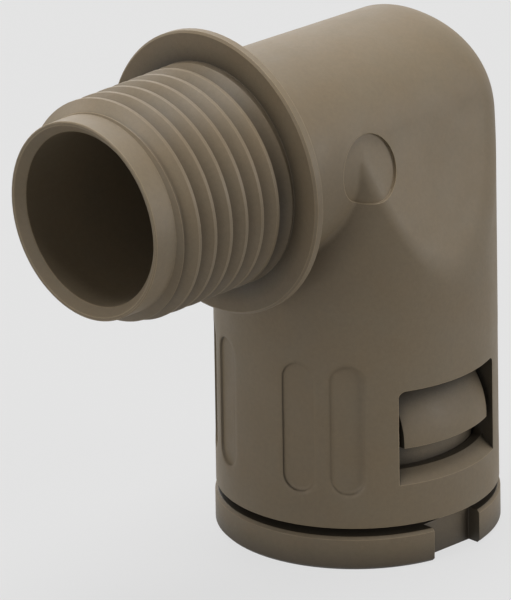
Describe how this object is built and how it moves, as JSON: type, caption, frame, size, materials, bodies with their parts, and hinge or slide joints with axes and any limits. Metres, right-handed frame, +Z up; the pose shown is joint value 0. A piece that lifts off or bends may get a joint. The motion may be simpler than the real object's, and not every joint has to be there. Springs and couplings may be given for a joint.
{
  "type": "right-angle conduit gland",
  "caption": "Right-angle plastic gland that joins corrugated conduit to a threaded entry, with a snap-in locking ring held in two side windows.",
  "frame": {"origin": "on the socket axis, in the bottom face of the locking ring, where the conduit goes in", "axes": "+Z runs up the socket axis from the conduit entry to the corner; the threaded spigot points along -X; the two latch windows face -Y and +Y"},
  "size_m": [0.0361, 0.0204, 0.0399],
  "materials": {
    "housing_plastic": "warm grey moulded polyamide, fine matt texture",
    "ring_plastic": "warm grey moulded polyamide, fine matt texture"
  },
  "bodies": {
    "housing": {"elbow_housing": "housing_plastic"},
    "ring": {"locking_ring": "ring_plastic"}
  },
  "joints": [
    {"name": "ring_slide", "type": "slide", "parent": "housing", "child": "ring", "axis": [0, 0, 1], "range_m": [-0.0017, 0.0006]}
  ]
}
